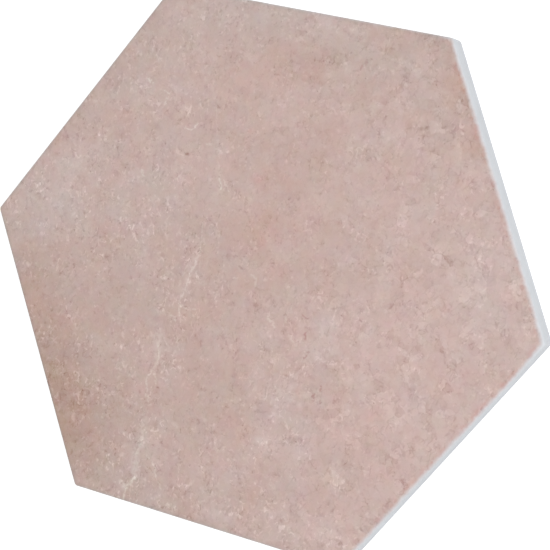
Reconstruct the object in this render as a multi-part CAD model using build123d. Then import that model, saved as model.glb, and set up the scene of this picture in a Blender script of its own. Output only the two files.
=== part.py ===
from build123d import *

import os
from math import radians, sqrt, tan

# A hexagonal glazed porcelain tile for walls and floors, pressed from powder and fired as one piece.
# The origin is the centre of the bedding plane, +Z points up through the glazed face and +X points
# at a corner of the hexagon. Lengths are in millimetres and angles in degrees.

# Outline and edge section
across_flats = 175.0  # between opposite edges, over their upright lands
thickness = 9.0  # bedding plane to glazed face
corner_radius = 1.5  # plan rounding of the six corners
arris_radius = 0.8  # rounding between the glazed face and the edge
land_height = 4.0  # upright band of the edge, just below the arris
release_angle = 1.5  # lean of the edge below the land, which lets the pressed tile leave its die
back_bevel = 0.5  # bevel round the back, measured along each face

# Keying pattern pressed into the back, which the bedding adhesive grips
pocket_rings = 4  # rings of pockets round the middle one
plain_margin = 8.0  # flat border between the outermost pockets and the bevel
rib_width = 4.0  # rib left standing between two pockets, at the bedding plane
pocket_depth = 0.6
pocket_lean = 30.0  # slope of a pocket's wall away from upright
pocket_corner_radius = 1.5  # plan rounding of a pocket's corners, at the bedding plane

# Worked out from the sizes above
land_bottom = thickness - arris_radius - land_height
base_inset = land_bottom * tan(radians(release_angle))
keyed_reach = across_flats / 2 - base_inset - back_bevel - plain_margin

# The outermost row of pockets lies row_share pitches from the middle, and a pocket's corner reaches
# corner_share of its width beyond its centre, which together fill keyed_reach.
row_share = pocket_rings * sqrt(3) / 2
corner_share = 1 / sqrt(3)
pocket_pitch = (keyed_reach + rib_width * corner_share) / (row_share + corner_share)
pocket_width = pocket_pitch - rib_width


def rounded_hexagon(width, radius, turn):
    """A hexagon of that width across its flats, with rounded corners and one of them at the angle turn."""
    outline = RegularPolygon(width / 2, 6, major_radius=False, rotation=turn)
    return fillet(outline.vertices(), radius)


def leaning_prism(outline, rise, lean):
    """The outline drawn up by rise, or down if it is negative, with walls that lean in on the way."""
    prism = extrude(outline, rise)
    walls = prism.faces().filter_by(Axis.Z, reverse=True)
    return draft(walls, Plane((0, 0, 0), z_dir=(0, 0, rise)), lean)


def pressed_slab():
    """The body: an upright land over a leaning lower edge, with its arris rounded and its back bevelled."""
    outline = rounded_hexagon(across_flats, corner_radius, 0)
    land = extrude(outline, thickness - land_bottom)
    lower_edge = leaning_prism(outline, -land_bottom, release_angle)
    slab = Pos(0, 0, land_bottom) * (land + lower_edge)
    slab = fillet(slab.faces().sort_by(Axis.Z)[-1].edges(), arris_radius)
    return chamfer(slab.faces().sort_by(Axis.Z)[0].edges(), back_bevel)


def is_keyed(across, up):
    """Whether a place of the honeycomb has a pocket: all within the rings but the six at their corners."""
    distances = {abs(across), abs(up), abs(across + up)}
    return max(distances) <= pocket_rings and distances != {0, pocket_rings}


def pocket_places():
    """Pocket centres on a honeycomb, whose corners stay plain where the tile is most easily chipped."""
    steps = range(-pocket_rings, pocket_rings + 1)
    return [
        Pos(pocket_pitch * (across + up / 2), pocket_pitch * up * sqrt(3) / 2, 0)
        for across in steps
        for up in steps
        if is_keyed(across, up)
    ]


def keying_pockets():
    """The shallow six-sided hollows of the back, each with a flat side towards every neighbour."""
    mouth = rounded_hexagon(pocket_width, pocket_corner_radius, 30)
    pocket = leaning_prism(mouth, pocket_depth, pocket_lean)
    return [place * pocket for place in pocket_places()]


tile = pressed_slab() - keying_pockets()
tile.label = "tile"

os.makedirs("parts", exist_ok=True)
export_step(tile, "parts/tile.step")
print(f"{len(pocket_places())} pockets at a pitch of {pocket_pitch:.2f} mm, base inset {base_inset:.3f} mm")
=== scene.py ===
"""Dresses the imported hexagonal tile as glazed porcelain: a clouded pink satin glaze over a pale fired body.

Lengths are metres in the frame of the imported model, with +Z up through the glazed face and +X towards a
corner. The pattern of the glaze is laid out in millimetres from the middle of the face.
"""

from __future__ import annotations

import logging
import math
from dataclasses import dataclass
from enum import Enum
from functools import reduce
from typing import Any, Iterable, Mapping, Sequence, Union

import bmesh
import bpy
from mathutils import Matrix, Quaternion, Vector, noise
from mathutils.geometry import delaunay_2d_cdt


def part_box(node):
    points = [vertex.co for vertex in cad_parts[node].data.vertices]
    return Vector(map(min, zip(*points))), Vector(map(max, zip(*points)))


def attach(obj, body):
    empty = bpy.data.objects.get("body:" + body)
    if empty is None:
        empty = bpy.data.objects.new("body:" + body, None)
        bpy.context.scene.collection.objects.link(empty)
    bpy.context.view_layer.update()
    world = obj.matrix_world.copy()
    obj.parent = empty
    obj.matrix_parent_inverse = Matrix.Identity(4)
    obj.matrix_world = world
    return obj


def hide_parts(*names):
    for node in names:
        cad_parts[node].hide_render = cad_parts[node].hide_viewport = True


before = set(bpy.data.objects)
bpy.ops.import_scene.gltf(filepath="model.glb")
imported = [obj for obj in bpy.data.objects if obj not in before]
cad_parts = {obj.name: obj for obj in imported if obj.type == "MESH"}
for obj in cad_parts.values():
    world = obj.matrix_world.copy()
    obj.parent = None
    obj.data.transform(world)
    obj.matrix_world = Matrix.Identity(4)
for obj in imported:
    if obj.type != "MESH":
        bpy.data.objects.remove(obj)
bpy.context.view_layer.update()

log = logging.getLogger("tile_scene")

MM = 0.001
SIDES = 6
ROOT_3 = math.sqrt(3)
TILE_NODE = "tile"
BODY_NAME = "root"
REACH_ATTRIBUTE = "rim_reach"
SHOWING_RAYS = ("Camera", "Glossy", "Transmission")

# How far the dressed tile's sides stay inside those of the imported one
SLACK = 0.001 * MM

Material = bpy.types.Material
Node = bpy.types.Node
Object = bpy.types.Object
Socket = bpy.types.NodeSocket
Tree = bpy.types.NodeTree
Source = Union[float, Sequence[float], Socket]


class Skin(Enum):
    """The finishes of the tile's mesh, numbered as its material slots."""

    GLAZE = 0
    BACK = 1


class NodeSheet:
    """A node tree written as a chain of calls, most of which give back the socket they make."""

    NUMBERS = ("DISTANCE", "DOT_PRODUCT", "LENGTH")

    def __init__(self, tree: Tree) -> None:
        """Takes the tree that the nodes go into."""
        self.tree = tree

    def add(self, kind: str, inputs: Mapping[str, Source] | None = None, **settings: Any) -> Node:
        """Adds a node.

        Args:
            kind: the node's type name.
            inputs: what goes into its inputs, by their names.
            settings: properties of the node to set.

        Returns:
            The new node.
        """
        node = self.tree.nodes.new(kind)
        for name, value in settings.items():
            setattr(node, name, value)
        for name, source in (inputs or {}).items():
            self.feed(node.inputs[name], source)
        return node

    def feed(self, socket: Socket, source: Source) -> None:
        """Links a socket to an output, or sets its value.

        Args:
            socket: the input to fill.
            source: an output socket, or a plain value.
        """
        if isinstance(source, Socket):
            self.tree.links.new(source, socket)
        else:
            socket.default_value = source

    def math(self, operation: str, *sources: Source) -> Socket:
        """Works out a number.

        Args:
            operation: the Math node's operation.
            sources: its operands.

        Returns:
            The result's socket.
        """
        node = self.add("ShaderNodeMath", operation=operation)
        for socket, source in zip(node.inputs, sources):
            self.feed(socket, source)
        return node.outputs[0]

    def vector(self, operation: str, *sources: Source, scale: Source = 1.0) -> Socket:
        """Works on vectors.

        Args:
            operation: the Vector Math node's operation.
            sources: its vector operands.
            scale: the factor of a SCALE.

        Returns:
            The result's socket, which is a number where the operation gives one.
        """
        factor = {"Scale": scale} if operation == "SCALE" else {}
        node = self.add("ShaderNodeVectorMath", factor, operation=operation)
        for socket, source in zip(node.inputs, sources):
            self.feed(socket, source)
        return node.outputs["Value" if operation in self.NUMBERS else "Vector"]

    def fold(self, operation: str, sources: Iterable[Source]) -> Source:
        """Works through any number of sources, two at a time, and gives back the result."""
        return reduce(lambda first, second: self.math(operation, first, second), sources)

    def total(self, sources: Iterable[Source]) -> Source:
        """Adds up any number of sources and gives back the sum."""
        return self.fold("ADD", sources)

    def times(self, *sources: Source) -> Source:
        """Multiplies any number of sources and gives back the product."""
        return self.fold("MULTIPLY", sources)

    def line(self, value: Source, slope: Source, start: Source) -> Socket:
        """Gives back value times slope plus start."""
        return self.math("MULTIPLY_ADD", value, slope, start)

    def smooth(self, value: Source, low: Source, high: Source) -> Socket:
        """Gives back a number that eases from 0 where value is low to 1 where it is high."""
        ends = {"Value": value, "From Min": low, "From Max": high}
        return self.add("ShaderNodeMapRange", ends, interpolation_type="SMOOTHSTEP").outputs["Result"]

    def mix(self, factor: Source, first: Source, second: Source) -> Socket:
        """Mixes two colours.

        Args:
            factor: how much of the second shows.
            first: the colour below.
            second: the colour above.

        Returns:
            The mixed colour's socket.
        """
        node = self.add("ShaderNodeMix", {"Factor": factor}, data_type="RGBA")
        colours = [socket for socket in node.inputs if socket.type == "RGBA"]
        for socket, source in zip(colours, (first, second)):
            self.feed(socket, source)
        return next(socket for socket in node.outputs if socket.type == "RGBA")

    def noise(
        self,
        place: Source,
        size: Source,
        seed: float,
        detail: float = 2.0,
        roughness: float = 0.5,
        bend: float = 0.0,
        solid: bool = False,
    ) -> Socket:
        """Draws a cloudy field about 0.

        Args:
            place: the point, in the unit of size.
            size: the width of the broadest clouds.
            seed: a number that gives a field of its own.
            detail: how many finer layers are added.
            roughness: how strong each finer layer is.
            bend: how far the field is bent by itself.
            solid: whether it changes with height too.

        Returns:
            The field's socket, from about -0.5 to 0.5.
        """
        inputs = {
            "Vector": self.vector("ADD", place, (seed * 31.7, seed * -17.9, seed * 5.3)),
            "Scale": 1.0 / size if isinstance(size, float) else self.math("DIVIDE", 1.0, size),
            "Detail": detail,
            "Roughness": roughness,
            "Distortion": bend,
        }
        node = self.add("ShaderNodeTexNoise", inputs, noise_dimensions="3D" if solid else "2D")
        return self.math("SUBTRACT", node.outputs["Fac"], 0.5)

    def warp(self, place: Source, size: float, amount: float, seed: float, detail: float = 1.0) -> Socket:
        """Moves a point about, so that what is drawn there wavers.

        Args:
            place: the point.
            size: the width of the waves.
            amount: how far it is moved at most, both ways together.
            seed: a number that gives a wavering of its own.
            detail: how many finer waves are added.

        Returns:
            The moved point's socket.
        """
        shifted = self.vector("ADD", place, (seed * 23.1, seed * -11.3, seed * 7.7))
        inputs = {"Vector": shifted, "Scale": 1.0 / size, "Detail": detail}
        waves = self.add("ShaderNodeTexNoise", inputs, noise_dimensions="2D")
        offset = self.vector("SUBTRACT", waves.outputs["Color"], (0.5, 0.5, 0.5))
        return self.vector("ADD", place, self.vector("SCALE", offset, scale=amount))

    def call(self, group: Tree, **inputs: Source) -> bpy.types.NodeOutputs:
        """Places a node group, fills its inputs by name and gives back its outputs."""
        return self.add("ShaderNodeGroup", inputs, node_tree=group).outputs


class Effect:
    """A shader node group that several finishes or several marks share."""

    def __init__(self, name: str, vectors: str, numbers: str = "", **outputs: str) -> None:
        """Makes the group and its sockets.

        Args:
            name: the group's name.
            vectors: the names of its vector inputs, with spaces between them.
            numbers: the names of its number inputs, likewise.
            outputs: the socket kind of each output.
        """
        self.tree = bpy.data.node_groups.new(name, "ShaderNodeTree")
        inputs = dict.fromkeys(vectors.split(), "Vector") | dict.fromkeys(numbers.split(), "Float")
        interface = self.tree.interface
        for direction, sockets in (("INPUT", inputs), ("OUTPUT", outputs)):
            for label, kind in sockets.items():
                interface.new_socket(name=label, in_out=direction, socket_type=f"NodeSocket{kind}")
        self.sheet = NodeSheet(self.tree)
        self.given = self.sheet.add("NodeGroupInput").outputs

    def put_out(self, **sources: Source) -> Tree:
        """Links the group's outputs by name and gives back its tree."""
        self.sheet.add("NodeGroupOutput", sources)
        return self.tree


class Effects:
    """The shared node groups, each built once."""

    def __init__(self) -> None:
        """Builds every group."""
        self.cloud = self._cloud()
        self.stroke = self._stroke()
        self.worms = self._worms()
        self.pebbles = self._pebbles()
        self.specks = self._specks()
        self.fired_body = self._fired_body()

    @staticmethod
    def _cloud() -> Tree:
        """A soft oval patch: 1 at its centre, fading to 0 at about twice its reach along and across."""
        effect = Effect("soft_cloud", "Place Centre Along Across", Mask="Float")
        sheet, given = effect.sheet, effect.given
        offset = sheet.vector("SUBTRACT", given["Place"], given["Centre"])
        along = sheet.vector("DOT_PRODUCT", offset, given["Along"])
        across = sheet.vector("DOT_PRODUCT", offset, given["Across"])
        square = sheet.line(along, along, sheet.times(across, across))
        return effect.put_out(Mask=sheet.math("EXPONENT", sheet.times(square, -1.0)))

    @staticmethod
    def _stroke() -> Tree:
        """How far a point of the plane lies from the straight line between two others."""
        effect = Effect("stroke", "Place Start End", Gap="Float")
        sheet, given = effect.sheet, effect.given
        along = sheet.vector("SUBTRACT", given["End"], given["Start"])
        offset = sheet.vector("SUBTRACT", given["Place"], given["Start"])
        square = sheet.vector("DOT_PRODUCT", along, along)
        share = sheet.math("DIVIDE", sheet.vector("DOT_PRODUCT", offset, along), square)
        share = sheet.math("MINIMUM", sheet.math("MAXIMUM", share, 0.0), 1.0)
        nearest = sheet.vector("SCALE", along, scale=share)
        return effect.put_out(Gap=sheet.vector("DISTANCE", offset, nearest))

    @staticmethod
    def _worms() -> Tree:
        """Short crooked strokes, as a mottled glaze shows: broken contours of a cloudy field."""
        effect = Effect("worm_strokes", "Place", "Size Width Length Start", Mask="Float")
        sheet, given = effect.sheet, effect.given
        field = sheet.noise(given["Place"], given["Size"], 0.0, 1.0, 0.5, 0.5)
        contour = sheet.smooth(sheet.math("ABSOLUTE", field), given["Width"], 0.0)
        gaps = sheet.noise(given["Place"], given["Length"], 9.0, 1.0)
        shown = sheet.smooth(gaps, given["Start"], sheet.math("ADD", given["Start"], 0.08))
        return effect.put_out(Mask=sheet.times(contour, shown))

    @staticmethod
    def _pebbles() -> Tree:
        """Chips that lie close together, each with its own tone and hue, and the gaps between them."""
        effect = Effect("pebbles", "Place", "Size", Tone="Float", Hue="Float", Gap="Float")
        sheet, given = effect.sheet, effect.given
        spots = {"Vector": given["Place"], "Scale": sheet.math("DIVIDE", 1.0, given["Size"])}
        chips = sheet.add("ShaderNodeTexVoronoi", spots, voronoi_dimensions="2D", feature="F1")
        edges = sheet.add("ShaderNodeTexVoronoi", spots, voronoi_dimensions="2D", feature="DISTANCE_TO_EDGE")
        draw = sheet.add("ShaderNodeSeparateColor", {"Color": chips.outputs["Color"]}).outputs
        drawn = sheet.line(draw["Red"], 2.0, -1.0)
        tone = sheet.times(drawn, sheet.math("ABSOLUTE", drawn))
        hue = sheet.math("SUBTRACT", draw["Green"], 0.5)
        return effect.put_out(Tone=tone, Hue=hue, Gap=sheet.smooth(edges.outputs["Distance"], 0.12, 0.0))

    @staticmethod
    def _specks() -> Tree:
        """Scattered round dots of differing size, on a share of the cells that the surface is split into."""
        effect = Effect("specks", "Place", "Spacing Radius Share", Mask="Float")
        sheet, given = effect.sheet, effect.given
        spots = {"Vector": given["Place"], "Scale": sheet.math("DIVIDE", 1.0, given["Spacing"])}
        cells = sheet.add("ShaderNodeTexVoronoi", spots, voronoi_dimensions="2D", feature="F1").outputs
        draw = sheet.add("ShaderNodeSeparateColor", {"Color": cells["Color"]}).outputs
        chosen = sheet.math("LESS_THAN", draw["Red"], given["Share"])
        gap = sheet.times(cells["Distance"], given["Spacing"])
        radius = sheet.times(given["Radius"], sheet.math("ADD", draw["Green"], 0.5))
        dot = sheet.smooth(gap, radius, sheet.times(radius, 0.4))
        return effect.put_out(Mask=sheet.times(dot, chosen))

    @staticmethod
    def _fired_body() -> Tree:
        """The pale body where no glaze covers it, with a faint cloudiness and the grain of the press."""
        effect = Effect("fired_body", "Place", Color="Color")
        sheet, place = effect.sheet, effect.given["Place"]
        broad = sheet.noise(place, 9.0, 41.0, 3.0, 0.6, solid=True)
        grain = sheet.noise(place, 0.7, 43.0, 2.0, 0.7, solid=True)
        tone = sheet.total((sheet.times(broad, 0.9), sheet.times(grain, 0.5), 0.5))
        pale, shade = (0.72, 0.745, 0.775, 1.0), (0.61, 0.63, 0.66, 1.0)
        return effect.put_out(Color=sheet.mix(tone, shade, pale))


@dataclass(frozen=True)
class Cloud:
    """A soft oval patch of the glaze's pattern.

    Attributes:
        x: millimetres from the face's middle towards the +X corner.
        y: millimetres from the face's middle towards the +Y edge.
        long: half its length in millimetres.
        wide: half its width in millimetres.
        turn: degrees from +X to its length.
        tone: how much lighter it is, in steps, or what its list says.
        red: how much redder it is, in steps.
    """

    x: float
    y: float
    long: float
    wide: float
    turn: float = 0.0
    tone: float = 0.0
    red: float = 0.0

    def draw(self, sheet: NodeSheet, effects: Effects, place: Source) -> Socket:
        """Places the patch.

        Args:
            sheet: the material's nodes.
            effects: the shared groups.
            place: the point in millimetres.

        Returns:
            The patch's mask.
        """
        along = spoke(self.turn) / self.long
        across = spoke(self.turn + 90.0) / self.wide
        centre = (self.x, self.y, 0.0)
        return sheet.call(effects.cloud, Place=place, Centre=centre, Along=along, Across=across)["Mask"]


@dataclass(frozen=True)
class Vein:
    """A crooked line in the glaze.

    Attributes:
        points: the points that it passes, in millimetres from the face's middle.
        width: half its width in millimetres.
        tone: how much lighter it is, in steps.
    """

    points: tuple[tuple[float, float], ...]
    width: float
    tone: float

    def draw(self, sheet: NodeSheet, effects: Effects, place: Source) -> Socket:
        """Places the line.

        Args:
            sheet: the material's nodes.
            effects: the shared groups.
            place: the point in millimetres, with no height.

        Returns:
            The line's mask, soft at its sides and ends.
        """
        gaps = [
            sheet.call(effects.stroke, Place=place, Start=(*start, 0.0), End=(*end, 0.0))["Gap"]
            for start, end in zip(self.points, self.points[1:])
        ]
        return sheet.smooth(sheet.fold("MINIMUM", gaps), self.width, 0.0)


# The broad clouds of the glaze
CLOUDS = (
    # Lighter over the half of the face towards the +X corner
    Cloud(70, -10, 60, 75, 0, 7, 1),
    Cloud(35, -60, 40, 30, 0, 2.5, 0.8),
    # Darker along the side that faces -X and -Y
    Cloud(-76, -44, 46, 15, -60, -10, 0.5),
    Cloud(-62, -68, 28, 14, -60, -9),
    Cloud(-44, -66, 20, 14, -70, -4.5),
    Cloud(-55, -45, 40, 25, -60, -3.5),
    Cloud(-15, 84, 50, 9, 8, 3, -3.5),
    Cloud(-42, 56, 28, 16, 30, 3),
    Cloud(-62, 48, 30, 12, 60, 0, -2),
    Cloud(-88, 2, 14, 12, 0, 7, -3.5),
    Cloud(-74, 12, 14, 10, 30, 6.5, -2),
    Cloud(-38, 16, 18, 12, -20, 3, -2),
    Cloud(-18, 28, 7, 12, 0, 3, -1.5),
    Cloud(2, 25, 24, 38, 10, -2.2, 2.2),
    Cloud(6, 58, 18, 9, 0, 3),
    Cloud(4, 71, 10, 6, 0, -5, 1.2),
    Cloud(-12, 60, 20, 6, 12, 0.5, 1.5),
    Cloud(0, 13, 5, 6, 0, -2, 3),
    Cloud(78, 15, 14, 18, 0, 1.5, -2),
    Cloud(58, -12, 18, 25, 0, 0, 1),
    Cloud(50, -42, 12, 10, -40, -2.5, 1.8),
    Cloud(52, 80, 14, 8, -40, -2, -1),
    Cloud(61, 68, 8, 14, 30, -9, 0.5),
    Cloud(28, 74, 18, 9, 0, -1, -2.2),
    Cloud(-25, -83, 16, 8, 10, 1, -2.5),
    Cloud(-30, -68, 10, 12, 0, 2, -1.5),
    Cloud(-46, -16, 13, 9, 0, -1, -1.5),
    Cloud(24, -16, 14, 10, 20, 2),
    Cloud(21, -42, 9, 8, 0, 2.5, -1.5),
    Cloud(16, -54, 9, 7, 60, 3, -1.5),
    Cloud(-13, -27, 13, 9, 70, -2, 0.5),
    Cloud(-8, -47, 12, 11, 0, -3.5, 1.2),
    Cloud(5, -51, 8, 6, 0, -3),
    Cloud(5, -81, 14, 7, 0, 2, -1),
    Cloud(33, -84, 12, 6, 0, -1.5, -1),
    Cloud(-32, 30, 16, 12, 0, 2.5, -0.5),
    Cloud(-10, -79, 8, 5, 0, -3),
    Cloud(47, -79, 8, 8, 0, 4),
    Cloud(-57, 40, 9, 8, 0, -0.5, 1.8),
    Cloud(-76, 27, 8, 8, 0, 4),
    Cloud(9, 33, 7, 6, 0, 3.5, -1),
    Cloud(-46, 6, 10, 7, 0, 4, -0.5),
    Cloud(-84, -15, 7, 7, 0, -6),
    Cloud(-55, -9, 8, 6, 0, 3),
    Cloud(9, -38, 8, 12, 0, -3),
    Cloud(28, 22, 10, 8, 0, -2.5),
    Cloud(56, 16, 8, 7, 0, -3),
    Cloud(18, -72, 9, 7, 0, -4),
    Cloud(70, -46, 9, 8, 0, 2.5),
    Cloud(-12, 68, 8, 6, 0, 2.5),
)

# Where the fine pattern is calmer, with what they add to its strength as their tone
CALM = (
    Cloud(0, 36, 38, 45, 0, -0.3),
    Cloud(-46, -18, 14, 9, 0, -0.45),
    Cloud(-45, 60, 14, 9, 30, -0.3),
    Cloud(-15, -42, 8, 14, 0, -0.3),
    Cloud(-80, -22, 8, 18, 20, -0.3),
    Cloud(-44, -30, 12, 9, 0, -0.35),
    Cloud(-62, 56, 12, 9, 30, -0.3),
    Cloud(-88, -12, 9, 14, 0, -0.2),
    Cloud(-62, -34, 10, 10, 0, -0.2),
    Cloud(-3, -36, 9, 9, 0, -0.2),
    Cloud(-56, -70, 12, 12, 0, -0.2),
)

# Where pale strokes crowd together, with what they add to the crowding as their tone
CROWDS = (
    Cloud(-55, 10, 30, 15, 10, 0.2),
    Cloud(-24, -12, 9, 16, 0, 0.2),
    Cloud(-32, -50, 12, 30, 0, 0.2),
    Cloud(-64, -40, 30, 14, -60, 0.2),
    Cloud(-12, -80, 26, 8, 5, 0.2),
    Cloud(18, -44, 9, 30, 0, 0.2),
    Cloud(28, -80, 18, 9, 0, 0.2),
    Cloud(-52, 55, 18, 12, 30, 0.2),
)

# Single flecks
FLECKS = (
    Cloud(-32.8, 33.2, 0.8, 0.5, 20, -45, 2),
    Cloud(-26.6, -46.3, 0.5, 0.4, 0, -32),
    Cloud(46.4, 57.5, 1.2, 0.7, 10, -22),
    Cloud(48.2, 58.2, 0.7, 0.6, 0, -24),
    Cloud(43, 57, 1.2, 0.8, 0, -12),
    Cloud(46, 60.5, 3.5, 1.4, 15, 6),
    Cloud(-18.2, 57.5, 2.2, 1.4, 30, -9),
    Cloud(3.2, 37.9, 0.6, 0.6, 0, 16, 1),
    Cloud(19, 51.4, 0.7, 0.6, 0, 13),
    Cloud(-11.7, 45.3, 1.2, 0.9, 0, -4, 6),
    Cloud(-5.4, 30.4, 2.2, 1.6, 0, -3, 4.5),
    Cloud(44.8, 78.5, 3, 2.6, 0, 7, -2.5),
    Cloud(57.2, 67.1, 0.9, 2.4, 20, 9, -2),
    Cloud(16.5, 84, 2.2, 1.2, -20, 10, -1),
    Cloud(17.6, 71.6, 2.6, 2.2, 0, 8, -2),
    Cloud(-22, -1.2, 0.8, 1.5, -15, 13, -2),
    Cloud(-23.3, -8.4, 0.9, 1.2, 20, 18, -2),
    Cloud(-17.2, -57.2, 0.8, 1.8, 50, 13, -2),
    Cloud(-21.5, -58.5, 3.2, 3, 0, 5, -3),
    Cloud(-31.5, -82.4, 1.1, 1.1, 0, 15, -3),
    Cloud(-18, -82, 1.2, 0.8, 10, 10),
    Cloud(2.5, -82, 3, 2.4, 0, 8, -2.5),
    Cloud(21, -34.2, 1.1, 1.3, 0, 11, -1),
    Cloud(25.2, -38.6, 1.3, 1.2, 30, 10, -1),
    Cloud(17.5, -43.5, 1.3, 1.9, 0, 8, -1.5),
    Cloud(13.8, -54.5, 2.2, 1.4, 0, 9, -2.5),
    Cloud(27.5, -11.5, 3, 2.2, 0, 6, -2),
    Cloud(42.5, -10.5, 2.4, 1.6, 30, 7, -2),
)

# Veins and short scratches
VEINS = (
    Vein(((-22, 12), (-21.5, 6), (-21, 2.5), (-22, -2), (-23, -6.5)), 0.5, 11),
    Vein(((-23, -6.5), (-23.5, -9), (-24, -12), (-25, -15.5)), 0.6, 11),
    Vein(((-24.5, -2.5), (-26, -7.5), (-26.5, -11)), 0.5, 8),
    Vein(((-20.5, -1), (-21, -5), (-20, -8)), 0.5, 8),
    Vein(((-22.5, 1), (-24, -8)), 2.8, 5),
    Vein(((-25, -16.5), (-22, -17.5)), 0.6, 14),
    Vein(((-25, -17.5), (-24, -20.5)), 0.6, 13),
    Vein(((-19.5, -17.5), (-17, -17)), 0.5, 12),
    Vein(((-27, -21.5), (-24.5, -22.5)), 0.7, 14),
    Vein(((-30.5, -28), (-29.5, -32.5), (-28.5, -37)), 3.2, 8),
    Vein(((-29.5, -32.5), (-28, -37.5), (-29.5, -40.5)), 0.8, 9),
    Vein(((-29.5, -40.5), (-31.5, -44.5), (-30, -50), (-28, -53)), 0.6, 12),
    Vein(((-29.5, -40.5), (-27.5, -45)), 0.5, 10),
    Vein(((-29.5, -57), (-28.5, -62), (-28.5, -66.5)), 2.8, 8),
    Vein(((-28.5, -65.5), (-29.5, -71)), 0.8, 9),
    Vein(((-29.5, -71), (-29.5, -74.5), (-28.5, -79)), 2.2, 11),
    Vein(((-28.5, -79), (-31, -82.5), (-31, -87)), 0.9, 18),
    Vein(((-33, -81.5), (-31, -83)), 1.6, 9),
    Vein(((-26, -70), (-22.5, -72.5), (-20.5, -76.5), (-18, -80)), 0.5, 11),
    Vein(((-26.5, -83.5), (-26, -86.5)), 0.5, 12),
    Vein(((-26.5, 54), (-23.5, 43.5), (-21.8, 36.5), (-19.5, 28.5)), 0.4, 7),
    Vein(((-19, 28), (-18.3, 24)), 0.7, 16),
    Vein(((-17.5, 27.5), (-15, 24)), 0.4, 11),
    Vein(((-35.5, 41.5), (-33, 41.5), (-31.5, 44)), 0.6, 17),
    Vein(((-26.5, 38), (-25, 38.5)), 0.6, 12),
    Vein(((-52.5, 55), (-51, 54)), 0.6, 17),
    Vein(((-46, 52.5), (-44, 51.5)), 0.5, 15),
    Vein(((-44.5, 50), (-44.5, 48)), 0.8, 12),
    Vein(((-48, 24.5), (-47.5, 22.5)), 0.9, 13),
    Vein(((-35, 24), (-33.5, 26)), 0.5, 11),
    Vein(((-1.5, -1.5), (1, -2), (1.5, -4)), 0.7, 11),
    Vein(((-7, -3.5), (-5.5, -3)), 0.9, 11),
    Vein(((8, -14), (11, -16)), 0.7, 13),
    Vein(((13.8, -12), (14.3, -15)), 0.6, 10),
    Vein(((16, -17), (18.5, -19.5)), 0.6, 9),
    Vein(((20, -10), (21, -10.5)), 0.7, -12),
    Vein(((22, -15.5), (22.5, -17.5)), 0.7, -19),
    Vein(((23.5, -23.5), (24.5, -21.5)), 0.7, -16),
    Vein(((29, -34), (29.5, -36.5)), 0.7, -18),
    Vein(((31, -31), (31.5, -33)), 0.7, -16),
    Vein(((31.5, -36), (32, -37)), 0.7, -14),
    Vein(((22, 72), (23.5, 75), (25, 76)), 0.7, -12),
)


@dataclass
class Steps:
    """What a layer of the pattern does to the glaze's colour, in steps of about one shade each.

    Attributes:
        broad: lightness, tinted as the broad clouds are.
        fine: lightness, tinted as the fine marks are.
        red: redness.
        mauve: the way from green to mauve.
    """

    broad: Source | None = None
    fine: Source | None = None
    red: Source | None = None
    mauve: Source | None = None


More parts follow.
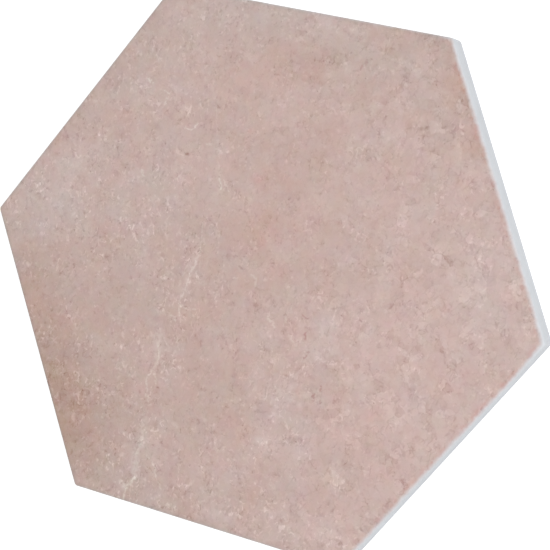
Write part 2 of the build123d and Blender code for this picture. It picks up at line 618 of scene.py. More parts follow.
@dataclass
class GlazePattern:
    """The clouded and mottled pattern of the glaze, drawn in layers.

    Attributes:
        sheet: the material's nodes.
        effects: the shared groups.
        place: the point in millimetres.
        right: a mask that is 1 on the right.
        liveliness: the strength of the fine pattern where nothing calms it.
    """

    sheet: NodeSheet
    effects: Effects
    place: Source
    right: Source
    liveliness: float = 1.14

    def layers(self) -> list[Steps]:
        """Every layer of the pattern, from the broadest to the finest."""
        return [self._clouds(), self._patches(), self._mottles(), self._marks()]

    def _lay(
        self, clouds: Iterable[Cloud], place: Source, tone: Source, red: Source = 0.0
    ) -> tuple[Source, Source]:
        """Lays clouds over what is there already.

        Args:
            clouds: the clouds to lay.
            place: the point, moved about as their borders waver.
            tone: what their tone is added to.
            red: what their redness is added to.

        Returns:
            The new tone and redness.
        """
        for cloud in clouds:
            mask = cloud.draw(self.sheet, self.effects, place)
            if cloud.tone:
                tone = self.sheet.line(mask, cloud.tone, tone)
            if cloud.red:
                red = self.sheet.line(mask, cloud.red, red)
        return tone, red

    def _clouds(self) -> Steps:
        """The broad clouds: the placed ones, with crumbling borders, over drifting ones.

        Returns:
            Lightness and redness.
        """
        sheet, place = self.sheet, self.place
        bent = sheet.warp(sheet.warp(place, 20.0, 9.0, 5.0, 2.0), 3.5, 9.0, 6.0, 2.0)
        tone = sheet.times(sheet.noise(place, 22.0, 7.0, 3.0, 0.7), 14.0)
        red = sheet.times(sheet.noise(place, 12.0, 8.0, 3.0, 0.7), 12.0)
        tone, red = self._lay(CLOUDS, bent, tone, red)
        return Steps(broad=tone, red=red)

    def _patches(self) -> Steps:
        """Patches with torn borders, paler and greyer than the ground between them.

        Returns:
            Lightness, redness and mauve.
        """
        sheet, place = self.sheet, self.place
        torn = sheet.noise(sheet.warp(place, 2.5, 2.0, 21.0, 2.0), 9.0, 22.0, 4.0, 0.7)
        shown = sheet.math("SUBTRACT", sheet.smooth(torn, -0.03, 0.06), 0.5)
        drift = sheet.noise(sheet.warp(place, 2.5, 2.0, 23.0, 2.0), 8.0, 9.0, 3.0, 0.7)
        return Steps(
            fine=sheet.times(shown, 2.6),
            red=sheet.times(shown, -1.6),
            mauve=sheet.times(drift, 9.0),
        )

    def _mottles(self) -> Steps:
        """The fine pattern: pebbles, crooked strokes, dark specks and grain, calmer in places.

        Returns:
            Lightness, redness and mauve.
        """
        sheet, effects, place, right = self.sheet, self.effects, self.place, self.right
        lively, _ = self._lay(CALM, place, self.liveliness)
        busy = sheet.smooth(sheet.noise(place, 7.0, 36.0, 2.0, 0.6), -0.14, 0.14)
        lively = sheet.times(lively, sheet.line(busy, 0.9, 0.55))
        large = sheet.call(effects.pebbles, Place=sheet.warp(place, 2.4, 2.0, 18.0, 2.0), Size=2.8)
        small = sheet.call(effects.pebbles, Place=sheet.warp(place, 1.2, 1.2, 28.0), Size=1.4)
        broken = sheet.smooth(sheet.noise(place, 3.0, 29.0, 1.0), 0.0, 0.1)
        cracks = sheet.times(large["Gap"], broken, right)
        drops = sheet.call(effects.specks, Place=place, Spacing=2.2, Radius=0.3, Share=0.15)["Mask"]
        blurred = sheet.warp(place, 1.0, 1.0, 35.0)
        chips = sheet.call(effects.specks, Place=blurred, Spacing=1.9, Radius=0.5, Share=0.25)["Mask"]
        blots = sheet.noise(place, 8.0, 12.0, 3.0, 0.75, 0.3)
        grain = sheet.noise(place, 0.6, 13.0, 1.0, 0.6)
        tones = (
            sheet.times(large["Tone"], sheet.line(right, 3.8, 1.7)),
            sheet.times(small["Tone"], sheet.line(right, -1.5, 3.5)),
            sheet.times(cracks, -7.0),
            sheet.times(drops, -11.0),
            sheet.times(chips, sheet.line(right, -2.0, 8.5)),
            sheet.times(blots, 14.0),
            sheet.times(grain, sheet.line(right, -3.5, 7.5)),
            self._strokes(),
        )
        return Steps(
            fine=sheet.times(sheet.total(tones), lively),
            red=sheet.times(large["Hue"], 1.6),
            mauve=sheet.times(small["Hue"], 1.5),
        )

    def _strokes(self) -> Source:
        """Dark crooked strokes, and pale ones, which crowd together in places.

        Returns:
            Lightness in steps.
        """
        sheet, worms, right = self.sheet, self.effects.worms, self.right
        stretched = sheet.vector("MULTIPLY", self.place, (1.0, 0.75, 1.0))
        bent = sheet.warp(stretched, 2.0, 1.4, 11.0)
        shifted = sheet.vector("ADD", bent, (37.0, 11.0, 0.0))
        finer = sheet.vector("ADD", bent, (-23.0, 51.0, 0.0))
        crowd = sheet.math("ADD", sheet.noise(self.place, 9.0, 19.0, 2.0, 0.6), -0.1)
        crowd, _ = self._lay(CROWDS, self.place, crowd)
        crowd = sheet.smooth(crowd, -0.2, 0.14)
        dark = sheet.call(worms, Place=bent, Size=3.2, Width=0.11, Length=2.0, Start=0.03)["Mask"]
        small = sheet.call(worms, Place=finer, Size=1.9, Width=0.11, Length=1.4, Start=0.07)["Mask"]
        pale = sheet.call(worms, Place=shifted, Size=2.0, Width=0.11, Length=1.6, Start=0.03)["Mask"]
        return sheet.total((
            sheet.times(dark, sheet.line(right, -2.0, -6.0)),
            sheet.times(small, sheet.line(right, 4.0, -10.5)),
            sheet.times(pale, crowd, sheet.line(right, -4.0, 16.5)),
        ))

    def _marks(self) -> Steps:
        """The placed flecks and veins, which waver and break up.

        Returns:
            Lightness, redness and mauve.
        """
        sheet, place = self.sheet, self.place
        wavering = sheet.warp(sheet.warp(place, 4.0, 1.6, 14.0), 1.2, 1.5, 15.0, 2.0)
        flat = sheet.vector("MULTIPLY", wavering, (1.0, 1.0, 0.0))
        worn = sheet.times(sheet.smooth(sheet.noise(place, 1.4, 25.0, 1.0), -0.25, 0.0), 1.35)
        veins: Source = 0.0
        for vein in VEINS:
            veins = sheet.line(vein.draw(sheet, self.effects, flat), vein.tone, veins)
        veins = sheet.times(veins, worn)
        uneven = sheet.warp(place, 1.0, 0.6, 15.0)
        tone, red = self._lay(FLECKS, uneven, veins, sheet.times(veins, -0.2))
        return Steps(fine=tone, red=red, mauve=sheet.times(veins, -0.08))


def blank_finish(name: str) -> tuple[Material, NodeSheet, Node, Socket]:
    """Starts a material.

    Args:
        name: the material's name.

    Returns:
        The material, its nodes, its shader and the point in millimetres.
    """
    material = bpy.data.materials.new(name)
    material.use_nodes = True
    sheet = NodeSheet(material.node_tree)
    shader = material.node_tree.nodes["Principled BSDF"]
    place = sheet.vector("SCALE", sheet.add("ShaderNodeTexCoord").outputs["Object"], scale=1.0 / MM)
    return material, sheet, shader, place


@dataclass(frozen=True)
class GlazeFinish:
    """Clouded pink satin glaze on the face, which thins out to the pale body on the arris.

    Attributes:
        rose: the glaze's colour where no cloud or mottle changes it.
        broad_step: the share by which a step of a broad cloud lightens each channel.
        fine_step: the share by which a step of a fine mottle lightens each channel.
        red_step: the share by which a step of redness changes each channel.
        mauve_step: the share by which a step from green to mauve changes each channel.
        right_span: where the right half's pattern begins and is full, in millimetres along X.
        near_span: where the two sides at the +X corner begin and are full, likewise.
        corner_span: where the corners begin and are full, in millimetres from the middle.
        print_stop: how far above the foot of the arris the glaze's colour ends.
        print_ragged: how far that end wanders to each side.
        print_soft: half the width over which it fades.
        print_shift: how much further down it reaches on the sides away from the +X corner.
        print_corner: how much further in it ends at the corners of the two sides at +X.
        scorch_width: how far in from its end the glaze is browner, towards the +X corner.
        far_shade_span: how far in the greyer border of the other sides begins and is full.
        relief_height: how high the fired skin's fine relief is.
        relief_strength: how strongly that relief shades.
        bare_roughness: how rough the bare body is.
        satin: how much smoother the glaze is.
        uneven: how much the roughness wanders.
    """

    rose: tuple[float, float, float] = (0.535, 0.395, 0.357)
    broad_step: tuple[float, float, float] = (0.0097, 0.0126, 0.0158)
    fine_step: tuple[float, float, float] = (0.0106, 0.0132, 0.0141)
    red_step: tuple[float, float, float] = (0.0099, -0.0035, -0.0055)
    mauve_step: tuple[float, float, float] = (0.0005, -0.0100, 0.0084)
    right_span: tuple[float, float] = (-30.0, 60.0)
    near_span: tuple[float, float] = (44.0, 56.0)
    corner_span: tuple[float, float] = (94.0, 101.0)
    print_stop: float = 1.05 * MM
    print_ragged: float = 0.45 * MM
    print_soft: float = 1.15 * MM
    # print_shift: how much further down it reaches on the sides away from the +X corner, which darkens the
    # arris of those sides as painted shade.
    print_shift: float = 0.9 * MM
    print_corner: float = 0.6 * MM
    scorch_width: float = 2.6 * MM
    # far_shade_span: how far in the painted shade begins and is full: a greyer border on the other sides,
    # which face away from the lamp.
    far_shade_span: tuple[float, float] = (2.2 * MM, 0.9 * MM)
    relief_height: float = 0.03 * MM
    relief_strength: float = 0.5
    bare_roughness: float = 0.6
    satin: float = 0.15
    uneven: float = 0.08

    def material(self, effects: Effects) -> Material:
        """Builds the finish.

        Args:
            effects: the shared groups.

        Returns:
            The finished material.
        """
        material, sheet, shader, place = blank_finish("clouded_pink_glaze")
        x = sheet.add("ShaderNodeSeparateXYZ", {"Vector": place}).outputs["X"]
        right = sheet.smooth(x, *self.right_span)
        near = sheet.smooth(x, *self.near_span)
        corner = sheet.smooth(sheet.vector("LENGTH", place), *self.corner_span)
        reach = sheet.add("ShaderNodeAttribute", attribute_name=REACH_ATTRIBUTE).outputs["Fac"]
        reach = sheet.line(sheet.times(corner, near), -self.print_corner, reach)
        layers = GlazePattern(sheet, effects, place, right).layers()
        layers.append(self._rim(sheet, place, reach, near))
        colour = self._colour(sheet, layers)
        body = sheet.call(effects.fired_body, Place=place)["Color"]
        glazed = self._covered(sheet, place, reach, near)
        sheet.feed(shader.inputs["Base Color"], sheet.mix(glazed, body, colour))
        roughness = sheet.line(sheet.noise(place, 4.0, 61.0), self.uneven, self.bare_roughness)
        sheet.feed(shader.inputs["Roughness"], sheet.line(glazed, -self.satin, roughness))
        height = sheet.noise(place, 1.5, 62.0, 2.0, 0.6, solid=True)
        settings = {"Strength": self.relief_strength, "Distance": self.relief_height, "Height": height}
        sheet.feed(shader.inputs["Normal"], sheet.add("ShaderNodeBump", settings).outputs["Normal"])
        return material

    def _colour(self, sheet: NodeSheet, layers: Sequence[Steps]) -> Source:
        """Lays the pattern's layers on the glaze's colour.

        Args:
            sheet: the material's nodes.
            layers: what each layer does.

        Returns:
            The colour's socket.
        """
        change: Source = (1.0, 1.0, 1.0)
        for name in ("broad", "fine", "red", "mauve"):
            amounts = [getattr(layer, name) for layer in layers]
            amount = sheet.total(source for source in amounts if source is not None)
            part = sheet.vector("SCALE", getattr(self, f"{name}_step"), scale=amount)
            change = sheet.vector("ADD", part, change)
        return sheet.vector("MULTIPLY", change, self.rose)

    def _rim(self, sheet: NodeSheet, place: Source, reach: Source, near: Source) -> Steps:
        """The glaze's border: scorched in patches towards the +X corner, and darker and greyer on the other
        sides as painted shade, since they face away from the lamp.

        Args:
            sheet: the material's nodes.
            place: the point in millimetres.
            reach: the way in from the foot of the arris.
            near: a mask that is 1 on the two sides at the +X corner.

        Returns:
            Lightness and redness.
        """
        patchy = sheet.smooth(sheet.noise(place, 4.0, 33.0, 2.0, 0.7), -0.06, 0.12)
        edge = sheet.smooth(reach, self.print_stop + self.scorch_width, self.print_stop)
        scorched = sheet.times(edge, patchy, near)
        # Painted shade: a darker, greyer border on the sides away from the +X corner and the lamp
        far_shade = sheet.times(sheet.smooth(reach, *self.far_shade_span), sheet.line(near, -1.0, 1.0))
        return Steps(
            fine=sheet.line(scorched, -13.0, sheet.times(far_shade, -5.0)),
            red=sheet.line(scorched, 8.0, sheet.times(far_shade, -4.0)),
        )

    def _covered(self, sheet: NodeSheet, place: Source, reach: Source, near: Source) -> Socket:
        """Where the glaze covers the body, which ends in a ragged line on the arris.

        Args:
            sheet: the material's nodes.
            place: the point in millimetres.
            reach: the way in from the foot of the arris.
            near: a mask that is 1 on the two sides at the +X corner.

        Returns:
            A mask that is 1 on the face and 0 on the bare edge.
        """
        ragged = sheet.times(sheet.noise(place, 2.5, 3.0, 2.0, 0.6), 2.0 * self.print_ragged)
        # The glaze reaches further down the arris on the sides away from the +X corner, which darkens it
        # there as painted shade
        shift = sheet.line(near, -self.print_shift, self.print_shift)
        border = sheet.total((reach, ragged, shift))
        return sheet.smooth(border, self.print_stop - self.print_soft, self.print_stop + self.print_soft)


@dataclass(frozen=True)
class BackFinish:
    """Bare fired porcelain on the keyed back and the lower edge."""

    roughness: float = 0.7

    def material(self, effects: Effects) -> Material:
        """Builds the finish.

        Args:
            effects: the shared groups.

        Returns:
            The finished material.
        """
        material, sheet, shader, place = blank_finish("fired_back")
        sheet.feed(shader.inputs["Base Color"], sheet.call(effects.fired_body, Place=place)["Color"])
        sheet.feed(shader.inputs["Roughness"], self.roughness)
        return material


def spoke(degrees: float) -> Vector:
    """The unit vector of the plane at an angle from +X."""
    return Vector((math.cos(math.radians(degrees)), math.sin(math.radians(degrees)), 0.0))


def hexagon_arcs(
    apothem: float, radius: float, steps: int, first: float = 0.0, way: int = 1
) -> list[list[Vector]]:
    """The rounded corners of a hexagon, one after the other.

    Args:
        apothem: from its middle to the middle of a side.
        radius: the rounding of its corners.
        steps: how many pieces each rounding is split into.
        first: degrees from +X to the first corner.
        way: 1 to go round anticlockwise seen from above, -1 to go clockwise.

    Returns:
        The points of each corner.
    """
    out = (apothem - radius) * 2 / ROOT_3
    arcs = []
    for corner in range(SIDES):
        centre = spoke(first + way * 60 * corner) * out
        turns = [first + way * 60 * (corner + step / steps - 0.5) for step in range(steps + 1)]
        arcs.append([centre + spoke(turn) * radius for turn in turns])
    return arcs


def add_object(name: str, data: Any) -> Object:
    """Makes an object of some data, puts it into the scene and gives it back."""
    made = bpy.data.objects.new(name, data)
    bpy.context.scene.collection.objects.link(made)
    return made


@dataclass(frozen=True)
class SectionPoint:
    """A point of the tile's edge section.

    Attributes:
        inset: how far it lies inside the outline.
        height: how far it lies above the bedding plane.
        reach: the way along the surface from the foot of the arris, up and inwards.
    """

    inset: float
    height: float
    reach: float


@dataclass
class KeyedBack:
    """The honeycomb of shallow pockets pressed into the back, laid out by Geometry Nodes."""

    rings: int = 4
    rib_width: float = 4.0 * MM
    depth: float = 0.6 * MM
    lean: float = math.radians(30.0)
    corner_radius: float = 1.5 * MM
    rim_radius: float = 0.2 * MM
    corner_steps: int = 4
    rim_steps: int = 3
    weld: float = 0.01 * MM

    def pitch(self, keyed_reach: float) -> float:
        """How far apart neighbouring pockets are, for outermost pockets that end at keyed_reach."""
        row_share, corner_share = self.rings * ROOT_3 / 2, 1 / ROOT_3
        return (keyed_reach + self.rib_width * corner_share) / (row_share + corner_share)

    def pocket_section(self) -> list[tuple[float, float]]:
        """The pocket's wall from the bedding plane inwards, with its two edges rounded.

        Returns:
            The inset and the depth of each point.
        """
        slope = math.pi / 2 - self.lean
        run = self.rim_radius * math.tan(slope / 2)
        foot = self.depth * math.tan(self.lean)
        rim = []
        for step in range(self.rim_steps + 1):
            turn = slope * step / self.rim_steps
            rim.append((self.rim_radius * math.sin(turn) - run, self.rim_radius * (1 - math.cos(turn))))
        return rim + [(foot - inset, self.depth - depth) for inset, depth in reversed(rim)]

    def pocket_cell(self, pitch: float) -> Object:
        """Makes one cell of the honeycomb: half the ribs round a pocket, with the pocket in the middle.

        Args:
            pitch: the width of the cell.

        Returns:
            The cell's object, facing down.
        """
        mesh = bmesh.new()
        corners = [mesh.verts.new(spoke(90 - 60 * corner) * (pitch / ROOT_3)) for corner in range(SIDES)]
        loops = []
        for inset, depth in self.pocket_section():
            apothem = (pitch - self.rib_width) / 2 - inset
            radius = max(self.corner_radius - inset, 0.0)
            arcs = hexagon_arcs(apothem, radius, self.corner_steps, 90.0, -1)
            loops.append([mesh.verts.new((point.x, point.y, depth)) for arc in arcs for point in arc])
        steps = self.corner_steps + 1
        for k in range(SIDES):
            follower = (k + 1) % SIDES
            arc = loops[0][k * steps : (k + 1) * steps]
            for first, second in zip(arc, arc[1:]):
                mesh.faces.new((corners[k], first, second))
            mesh.faces.new((corners[k], arc[-1], loops[0][follower * steps], corners[follower]))
        for outer, inner in zip(loops, loops[1:]):
            for k in range(len(outer)):
                follower = (k + 1) % len(outer)
                mesh.faces.new((outer[k], inner[k], inner[follower], outer[follower]))
        mesh.faces.new(loops[-1])
        data = bpy.data.meshes.new("pocket_cell")
        mesh.to_mesh(data)
        mesh.free()
        return add_object("pocket_cell", data)

    def build(self, keyed_reach: float, finish: Material) -> bpy.types.Mesh:
        """Lays the pockets out as a honeycomb.

        Args:
            keyed_reach: how far from the middle the pockets may reach towards an edge.
            finish: the material of the back.

        Returns:
            The keyed part of the back as one mesh.
        """
        pitch = self.pitch(keyed_reach)
        cell = self.pocket_cell(pitch)
        tree = self._tree()
        holder = add_object("keyed_back", bpy.data.meshes.new("keyed_back"))
        modifier = holder.modifiers.new("honeycomb", "NODES")
        modifier.node_group = tree
        values = {"Cell": cell, "Pitch": pitch, "Rings": self.rings, "Finish": finish}
        for item in tree.interface.items_tree:
            if item.in_out == "INPUT" and item.name in values:
                modifier[item.identifier] = values[item.name]
        depsgraph = bpy.context.evaluated_depsgraph_get()
        mesh = bpy.data.meshes.new_from_object(holder.evaluated_get(depsgraph))
        holder.modifiers.remove(modifier)
        bpy.data.objects.remove(holder)
        bpy.data.objects.remove(cell)
        return mesh

    def _tree(self) -> Tree:
        """Builds the node tree that sets cells on a honeycomb and leaves its six corner places out.

        Returns:
            The tree.
        """
        tree = bpy.data.node_groups.new("honeycomb", "GeometryNodeTree")
        kinds = {"Cell": "Object", "Pitch": "Float", "Rings": "Int", "Finish": "Material"}
        for name, kind in kinds.items():
            tree.interface.new_socket(name=name, in_out="INPUT", socket_type=f"NodeSocket{kind}")
        tree.interface.new_socket(name="Geometry", in_out="OUTPUT", socket_type="NodeSocketGeometry")
        sheet = NodeSheet(tree)
        given = sheet.add("NodeGroupInput").outputs
        rings = sheet.times(given["Rings"], 1.0)
        span = sheet.times(rings, 2.0)
        count = sheet.math("ADD", span, 1.0)
        sizes = {"Size X": span, "Size Y": span, "Vertices X": count, "Vertices Y": count}
        grid = sheet.add("GeometryNodeMeshGrid", sizes).outputs["Mesh"]
        position = sheet.add("GeometryNodeInputPosition").outputs["Position"]
        parts = sheet.add("ShaderNodeSeparateXYZ", {"Vector": position}).outputs
        across, up = parts["X"], parts["Y"]
        away = [sheet.math("ABSOLUTE", step) for step in (across, up, sheet.math("ADD", across, up))]
        furthest = sheet.fold("MAXIMUM", away)
        outside = sheet.math("GREATER_THAN", furthest, sheet.math("ADD", rings, 0.5))
        last = sheet.math("GREATER_THAN", furthest, sheet.math("SUBTRACT", rings, 0.5))
        corner = sheet.times(last, sheet.math("LESS_THAN", sheet.fold("MINIMUM", away), 0.5))
        dropped = {"Geometry": grid, "Selection": sheet.math("MAXIMUM", outside, corner)}
        kept = sheet.add("GeometryNodeDeleteGeometry", dropped, domain="POINT").outputs["Geometry"]
        place = sheet.add("ShaderNodeCombineXYZ", {
            "X": sheet.times(sheet.line(up, 0.5, across), given["Pitch"]),
            "Y": sheet.times(up, ROOT_3 / 2, given["Pitch"]),
        }).outputs["Vector"]
        spread = {"Geometry": kept, "Position": place}
        moved = sheet.add("GeometryNodeSetPosition", spread).outputs["Geometry"]
        shape = sheet.add("GeometryNodeObjectInfo", {"Object": given["Cell"]}).outputs["Geometry"]
        copies = sheet.add("GeometryNodeInstanceOnPoints", {"Points": moved, "Instance": shape})
        real = sheet.add("GeometryNodeRealizeInstances", {"Geometry": copies.outputs["Instances"]})
        joined = {"Geometry": real.outputs["Geometry"], "Distance": self.weld}
        welded = sheet.add("GeometryNodeMergeByDistance", joined).outputs["Geometry"]
        dressed = sheet.add("GeometryNodeSetMaterial", {"Geometry": welded, "Material": given["Finish"]})
        sheet.add("NodeGroupOutput", {"Geometry": dressed.outputs["Geometry"]})
        return tree


@dataclass
class Tile:
    """The whole tile as one closed mesh: glazed face, rounded arris, edges and keyed back."""

    across_flats: float
    thickness: float
    corner_radius: float = 1.5 * MM
    least_radius: float = 0.1 * MM
    arris_radius: float = 0.8 * MM
    land_height: float = 4.0 * MM
    release_angle: float = math.radians(1.5)
    back_bevel: float = 0.5 * MM
    plain_margin: float = 8.0 * MM
    face_spacing: float = 1.2 * MM
    side_steps: int = 84
    corner_steps: int = 7
    arris_steps: int = 8
    ripple: float = 0.03 * MM
    ripple_size: float = 14.0 * MM
    ripple_margin: float = 6.0 * MM
    sharp_angle: float = math.radians(35.0)

    @property
    def land_bottom(self) -> float:
        """Height of the upright land's lower end."""
        return self.thickness - self.arris_radius - self.land_height

    @property
    def base_inset(self) -> float:
        """How far the leaning lower edge comes in by the time it would reach the bedding plane."""
        return self.land_bottom * math.tan(self.release_angle)

    def section(self) -> list[SectionPoint]:
        """Works out the edge section.

        Returns:
            Its points, from the rim of the face down to the rim of the back.
        """
        points = []
        for step in range(self.arris_steps + 1):
            turn = math.pi / 2 * step / self.arris_steps
            inset = self.arris_radius * (1 - math.sin(turn))
            height = self.thickness - self.arris_radius * (1 - math.cos(turn))
            points.append(SectionPoint(inset, height, self.arris_radius * (math.pi / 2 - turn)))
        foot = self.thickness - self.arris_radius
        points.append(SectionPoint(0.0, self.land_bottom, self.land_bottom - foot))
        bevel_top = self.back_bevel * math.cos(self.release_angle)
        lean = (self.land_bottom - bevel_top) * math.tan(self.release_angle)
        points.append(SectionPoint(lean, bevel_top, bevel_top - foot))
        points.append(SectionPoint(self.base_inset + self.back_bevel, 0.0, -foot - self.back_bevel))
        return points

    def ring(self, inset: float, height: float) -> list[Vector]:
        """The outline drawn in by inset, at a height.

        Args:
            inset: how far inside the outline the ring lies.
            height: how far above the bedding plane it lies.

        Returns:
            The ring's points, anticlockwise seen from above.
        """
        radius = max(self.corner_radius - inset, self.least_radius)
        arcs = hexagon_arcs(self.across_flats / 2 - inset, radius, self.corner_steps)
        shares = [step / self.side_steps for step in range(1, self.side_steps)]
        points = []
        for arc, follower in zip(arcs, arcs[1:] + arcs[:1]):
            points += arc + [arc[-1].lerp(follower[0], share) for share in shares]
        for point in points:
            point.z = height
        return points

    def plan_inset(self, x: float, y: float) -> float:
        """How far a point of the plan lies inside the outline, corner rounding left aside."""
        sides = [math.radians(30 + 60 * k) for k in range(SIDES)]
        return self.across_flats / 2 - max(x * math.cos(side) + y * math.sin(side) for side in sides)

    def face_lift(self, x: float, y: float) -> float:
        """The height of the fired face over its plane: 0 at the rim, and 0 or a little less elsewhere.

        Args:
            x: the point's place along X.
            y: the point's place along Y.

        Returns:
            The height over the plane.
        """
        spot = Vector((x, y, 0.0)) / self.ripple_size
        fade = min(max((self.plan_inset(x, y) - self.arris_radius) / self.ripple_margin, 0.0), 1.0)
        return -self.ripple * abs(noise.fractal(spot, 0.7, 2.0, 3)) * fade * fade * (3 - 2 * fade)

    def face_points(self) -> list[Vector]:
        """Sets a lattice of points over the face, clear of its rim.

        Returns:
            The points of the plan.
        """
        rows = math.ceil(self.across_flats / self.face_spacing)
        clear = self.arris_radius + 0.6 * self.face_spacing
        furthest = self.across_flats / ROOT_3 - clear
        points = []
        for row in range(-rows, rows + 1):
            y = row * self.face_spacing * ROOT_3 / 2
            for column in range(-rows, rows + 1):
                x = (column + 0.5 * (row % 2)) * self.face_spacing
                if self.plan_inset(x, y) > clear and math.hypot(x, y) < furthest:
                    points.append(Vector((x, y)))
        return points

    def build(self, back: KeyedBack, finishes: dict[Skin, Material]) -> Object:
        """Makes the tile's mesh.

        Args:
            back: the pockets of the back.
            finishes: the material of each skin.

        Returns:
            The tile's object.
        """
        keyed_reach = self.across_flats / 2 - self.base_inset - self.back_bevel - self.plain_margin
        keyed = back.build(keyed_reach, finishes[Skin.BACK])
        mesh = bmesh.new()
        mesh.from_mesh(keyed)
        bpy.data.meshes.remove(keyed)
        reach = mesh.verts.layers.float.new(REACH_ATTRIBUTE)
        for face in mesh.faces:
            face.material_index = Skin.BACK.value
        keyed_rim = [edge for edge in mesh.edges if edge.is_boundary]
        section = self.section()
        for vert in mesh.verts:
            vert[reach] = section[-1].reach
        rings = []
        for point in section:
            ring = [mesh.verts.new(place) for place in self.ring(point.inset, point.height)]
            for vert in ring:
                vert[reach] = point.reach
            rings.append(ring)
        for index, (upper, lower) in enumerate(zip(rings, rings[1:])):
            for k in range(len(upper)):
                follower = (k + 1) % len(upper)
                face = mesh.faces.new((upper[k], lower[k], lower[follower], upper[follower]))
                face.material_index = (Skin.GLAZE if index <= self.arris_steps else Skin.BACK).value
        self._fill_margin(mesh, keyed_rim, rings[-1])
        self._fill_face(mesh, rings[0], reach)
        bmesh.ops.recalc_face_normals(mesh, faces=mesh.faces)
        data = bpy.data.meshes.new(TILE_NODE)
        mesh.to_mesh(data)
        mesh.free()
        for skin in Skin:
            data.materials.append(finishes[skin])
        data.shade_smooth()
        data.set_sharp_from_angle(angle=self.sharp_angle)
        return add_object("glazed_tile", data)

    @staticmethod
    def _fill_margin(mesh: bmesh.types.BMesh, keyed_rim: list, ring: list) -> None:
        """Fills the flat border of the back.

        Args:
            mesh: the tile's mesh.
            keyed_rim: the edges round the honeycomb.
            ring: the vertices round the back.
        """
        outer = [mesh.edges.get((first, second)) for first, second in zip(ring, ring[1:] + ring[:1])]
        made = bmesh.ops.triangle_fill(mesh, use_beauty=True, edges=keyed_rim + outer)
        for item in made["geom"]:
            if isinstance(item, bmesh.types.BMFace):
                item.material_index = Skin.BACK.value

    def _fill_face(self, mesh: bmesh.types.BMesh, ring: list, reach: Any) -> None:
        """Fills the glazed face with an even net of triangles.

        Args:
            mesh: the tile's mesh.
            ring: the vertices round the face.
            reach: the layer that holds each vertex's way from the foot of the arris.
        """
        rim = [vert.co.to_2d() for vert in ring]
        edges = [(k, (k + 1) % len(rim)) for k in range(len(rim))]
        places, _, triangles, origins, _, _ = delaunay_2d_cdt(rim + self.face_points(), edges, [], 1, 1e-7)
        verts = []
        start = self.arris_radius * math.pi / 2
        for place, origin in zip(places, origins):
            if origin and origin[0] < len(rim):
                verts.append(ring[origin[0]])
                continue
            vert = mesh.verts.new((*place, self.thickness + self.face_lift(*place)))
            vert[reach] = start + self.plan_inset(*place) - self.arris_radius
            verts.append(vert)
        for triangle in triangles:
            face = mesh.faces.new([verts[k] for k in triangle])
            face.material_index = Skin.GLAZE.value


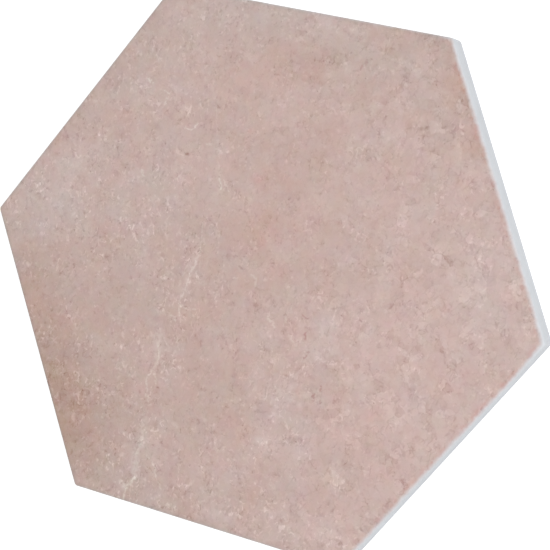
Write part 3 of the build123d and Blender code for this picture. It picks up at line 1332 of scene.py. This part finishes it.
@dataclass
class Studio:
    """The floor, the lamp, the white surround and the camera."""

    target: tuple[float, float, float] = (7.33 * MM, 0.69 * MM, 9.0 * MM)
    distance: float = 601.5 * MM
    azimuth: float = math.radians(14.974)
    elevation: float = math.radians(66.709)
    roll: float = math.radians(-92.169)
    lens: float = 119.44
    sensor_width: float = 36.0
    floor_half: float = 4.0
    floor_drop: float = 0.05 * MM
    floor_paint: tuple[float, float, float, float] = (0.8, 0.8, 0.8, 1.0)
    floor_lift: float = 0.45
    surround: float = 0.605
    lamp_place: tuple[float, float, float] = (0.9, 0.2, 1.6)
    lamp_width: float = 1.2
    lamp_power: float = 16.9

    def place_camera(self) -> None:
        """Sets the camera where the picture was taken from."""
        back = Vector((
            math.cos(self.azimuth) * math.cos(self.elevation),
            math.sin(self.azimuth) * math.cos(self.elevation),
            math.sin(self.elevation),
        ))
        data = bpy.data.cameras.new("camera")
        data.lens = self.lens
        data.sensor_width = self.sensor_width
        data.clip_start = 0.01
        camera = add_object("camera", data)
        camera.location = Vector(self.target) + back * self.distance
        self._face(camera, -back, Quaternion((0.0, 0.0, 1.0), self.roll))
        bpy.context.scene.camera = camera

    @staticmethod
    def _face(item: Object, way: Vector, roll: Quaternion = Quaternion()) -> None:
        """Turns a camera or a lamp to look along a way, and then rolls it about that way."""
        item.rotation_mode = "QUATERNION"
        item.rotation_quaternion = way.to_track_quat("-Z", "Y") @ roll

    def lay_floor(self) -> None:
        """Lays a plain white floor that keeps the tile's shadow."""
        half, level = self.floor_half, -self.floor_drop
        data = bpy.data.meshes.new("floor")
        corners = [(-half, -half, level), (half, -half, level), (half, half, level), (-half, half, level)]
        data.from_pydata(corners, [], [(0, 1, 2, 3)])
        data.materials.append(self._floor_finish())
        floor = add_object("floor", data)

    @staticmethod
    def _shown(sheet: NodeSheet) -> Source:
        """A mask of the rays that show a surface: straight, mirrored or through glass."""
        seen = sheet.add("ShaderNodeLightPath").outputs
        return sheet.fold("MAXIMUM", [seen[f"Is {ray} Ray"] for ray in SHOWING_RAYS])

    def _floor_finish(self) -> Material:
        """White floor paint, lifted to full white where it shows.

        Returns:
            The floor's material.
        """
        material = bpy.data.materials.new("floor_paint")
        material.use_nodes = True
        sheet = NodeSheet(material.node_tree)
        nodes = material.node_tree.nodes
        nodes.remove(nodes["Principled BSDF"])
        paint = sheet.add("ShaderNodeBsdfDiffuse", {"Color": self.floor_paint})
        strength = sheet.times(self._shown(sheet), self.floor_lift)
        lift = sheet.add("ShaderNodeEmission", {"Strength": strength})
        both = sheet.add("ShaderNodeAddShader")
        for socket, shader in zip(both.inputs, (paint, lift)):
            sheet.feed(socket, shader.outputs[0])
        sheet.feed(nodes["Material Output"].inputs["Surface"], both.outputs[0])
        return material

    def light(self) -> None:
        """Lights the tile softly and evenly, a little stronger from the lamp's side."""
        world = bpy.data.worlds.new("surround")
        world.use_nodes = True
        bpy.context.scene.world = world
        sheet = NodeSheet(world.node_tree)
        surround = world.node_tree.nodes["Background"]
        strength = sheet.line(self._shown(sheet), 1.0 - self.surround, self.surround)
        sheet.feed(surround.inputs["Strength"], strength)
        sheet.feed(surround.inputs["Color"], (1.0, 1.0, 1.0, 1.0))
        data = bpy.data.lights.new("softbox", "AREA")
        data.shape = "SQUARE"
        data.size = self.lamp_width
        data.energy = self.lamp_power
        lamp = add_object("softbox", data)
        lamp.location = self.lamp_place
        self._face(lamp, -Vector(self.lamp_place))


def main() -> None:
    """Builds the tile, its finishes and the studio, in order."""
    logging.basicConfig(level=logging.INFO, format="%(name)s: %(message)s")
    bpy.context.scene.view_settings.view_transform = "Standard"
    effects = Effects()
    finishes = {Skin.GLAZE: GlazeFinish().material(effects), Skin.BACK: BackFinish().material(effects)}
    low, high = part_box(TILE_NODE)
    shape = Tile(across_flats=high.y - low.y - 2 * SLACK, thickness=high.z - low.z)
    tile = shape.build(KeyedBack(), finishes)
    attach(tile, BODY_NAME)
    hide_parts(TILE_NODE)
    log.info("%s: %d vertices, %d faces", tile.name, len(tile.data.vertices), len(tile.data.polygons))
    studio = Studio()
    studio.place_camera()
    studio.lay_floor()
    studio.light()


if __name__ == "__main__":
    main()
